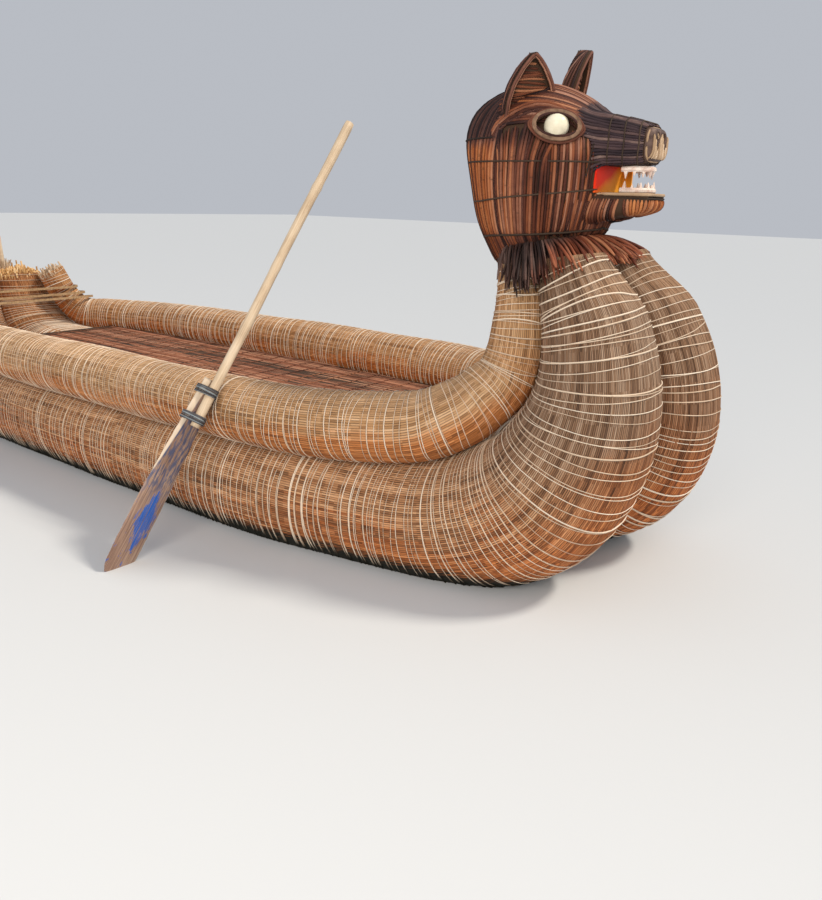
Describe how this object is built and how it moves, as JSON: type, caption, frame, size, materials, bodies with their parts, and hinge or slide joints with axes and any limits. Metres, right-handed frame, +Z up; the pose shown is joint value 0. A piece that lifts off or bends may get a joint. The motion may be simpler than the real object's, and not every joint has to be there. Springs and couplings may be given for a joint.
{
  "type": "reed boat",
  "caption": "Lake reed boat of two bound reed hull bundles and two gunwale bundles that rise to a neck with a reed animal head, with a long paddle leaning on the gunwale.",
  "frame": {"origin": "on the waterline, amidships, on the centreplane between the two hull bundles", "axes": "+X towards the bow and the animal head, +Y to port, +Z up"},
  "size_m": [6.6659, 2.6972, 2.636],
  "materials": {
    "reed": "matte",
    "dark_reed": "matte",
    "red_reed": "matte",
    "reed_mat": "matte",
    "bare_wood": "matte",
    "painted_wood": "matte",
    "cord": "matte",
    "eye_paint": "matte",
    "mouth_paint": "matte",
    "tooth_paint": "matte",
    "nose_reed": "matte"
  },
  "bodies": {
    "root": {"deck_mat": "reed_mat", "ear_port": "reed", "ear_starboard": "reed", "eye_rim_port": "dark_reed", "eye_rim_starboard": "dark_reed", "eyeball_port": "eye_paint", "eyeball_starboard": "eye_paint", "gunwale_bundle_port": "reed", "gunwale_bundle_starboard": "reed", "hull_bundle_port": "reed", "hull_bundle_starboard": "reed", "inner_ear_port": "red_reed", "inner_ear_starboard": "red_reed", "lower_gum": "tooth_paint", "lower_jaw": "reed", "mouth_lining": "mouth_paint", "muzzle": "dark_reed", "nape_band": "reed", "nose_pad": "nose_reed", "oar_blade": "painted_wood", "oar_lashing_lower": "cord", "oar_lashing_upper": "cord", "oar_pole": "bare_wood", "ruff": "dark_reed", "skull": "reed", "stern_cord_1": "cord", "stern_cord_2": "cord", "stern_cord_3": "cord", "thole_pin_port": "bare_wood", "thole_pin_starboard": "bare_wood", "upper_gum": "tooth_paint"}
  },
  "joints": []
}
